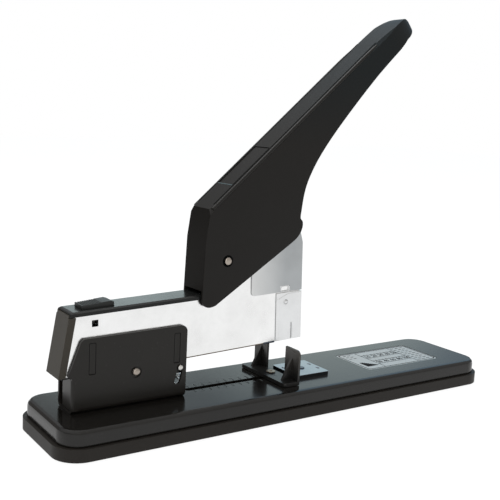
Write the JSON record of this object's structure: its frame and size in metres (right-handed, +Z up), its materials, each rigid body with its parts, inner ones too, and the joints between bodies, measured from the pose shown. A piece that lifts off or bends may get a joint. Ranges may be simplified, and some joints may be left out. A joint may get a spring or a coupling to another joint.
{
  "type": "heavy-duty stapler",
  "caption": "Long-arm desk stapler with a flat base, a bright head pivoted on a black bracket, a tall channel handle, a sliding depth guide and a reversible anvil.",
  "frame": {"origin": "centre of the underside of the base, on the surface it stands on", "axes": "+X along the base toward the stapling end, +Y across the base away from the pictured side, +Z up"},
  "size_m": [0.29, 0.065, 0.2261],
  "materials": {
    "black_tray": "satin moulded black",
    "black_enamel": "glossy black stove enamel",
    "black_plastic": "satin black, finely grained",
    "rubber": "matt black rubber",
    "label": "satin silver plate",
    "bright_steel": "bright nickel plate, lightly drawn",
    "grey_steel": "plain bright rolled steel",
    "pin_steel": "warm plated steel"
  },
  "bodies": {
    "base": {"base_tray": "black_tray", "base_shell": "black_enamel", "foot_1": "rubber", "foot_2": "rubber", "foot_3": "rubber", "foot_4": "rubber", "base_screw_1": "pin_steel", "base_screw_2": "pin_steel", "base_screw_3": "pin_steel", "base_screw_4": "pin_steel", "label_plate": "label", "anvil_plate": "bright_steel", "anvil_rivet": "pin_steel", "bracket": "black_enamel", "bracket_rivet_1": "pin_steel", "bracket_rivet_2": "pin_steel", "bracket_rivet_3": "pin_steel", "bracket_rivet_4": "pin_steel", "pivot_pin": "pin_steel", "pivot_washer": "pin_steel", "lift_spring": "bright_steel"},
    "head": {"head_frame": "bright_steel", "nose_plate": "bright_steel", "hood_plate": "grey_steel", "nose_rivet_near": "pin_steel", "nose_rivet_far": "pin_steel", "hood_rivet_near": "pin_steel", "hood_rivet_far": "pin_steel", "stop_stud_near": "pin_steel", "stop_stud_far": "pin_steel", "staple_rail": "grey_steel", "rail_rivet_1": "pin_steel", "rail_rivet_2": "pin_steel", "staple_strip": "bright_steel", "handle_pin": "pin_steel", "return_spring": "bright_steel"},
    "handle": {"handle_shell": "black_plastic", "drive_lever": "grey_steel"},
    "driver": {"ram": "grey_steel", "driver_blade": "bright_steel", "blade_rivet": "pin_steel"},
    "loader": {"top_cover": "black_enamel", "rear_cap": "black_plastic", "pusher_rod": "grey_steel", "pusher_spring": "bright_steel", "latch_keeper": "grey_steel", "latch_spring": "bright_steel"},
    "latch": {"latch_button": "black_plastic"},
    "pusher_block": {"pusher": "black_plastic"},
    "guide": {"guide_slider": "black_plastic", "guide_rivet": "pin_steel", "guide_shoe": "grey_steel"}
  },
  "joints": [
    {"name": "head_pivot", "type": "hinge", "parent": "base", "child": "head", "pos_m": [-0.0965, 0, 0.033], "axis": [0, 1, 0], "range_deg": [0, 11.4], "stiffness_Nm_per_rad": 1.6, "springref_deg": -20.05, "deforming": ["lift_spring"]},
    {"name": "handle_pivot", "type": "hinge", "parent": "head", "child": "handle", "pos_m": [-0.04434, 0, 0.08753], "axis": [0, 1, 0], "range_deg": [0, 35], "stiffness_Nm_per_rad": 0.4, "springref_deg": -51.57},
    {"name": "driver_slide", "type": "slide", "parent": "head", "child": "driver", "axis": [0.0419, 0, -0.9991], "range_m": [0, 0.02587]},
    {"name": "loader_slide", "type": "slide", "parent": "head", "child": "loader", "axis": [-0.9991, 0, -0.0419], "range_m": [0, 0.075]},
    {"name": "latch_press", "type": "slide", "parent": "loader", "child": "latch", "axis": [0.0419, 0, -0.9991], "range_m": [0, 0.0014], "stiffness_N_per_m": 700, "springref_m": -0.001, "deforming": ["latch_spring"]},
    {"name": "pusher_slide", "type": "slide", "parent": "loader", "child": "pusher_block", "axis": [-0.9991, 0, -0.0419], "range_m": [0, 0.044], "stiffness_N_per_m": 60, "springref_m": -0.01},
    {"name": "guide_slide", "type": "slide", "parent": "base", "child": "guide", "axis": [1, 0, 0], "range_m": [-0.049, 0.002]}
  ],
  "couplings": [
    {"joint": "driver_slide", "follows": "handle_pivot", "m_per_rad": 0.04233}
  ]
}
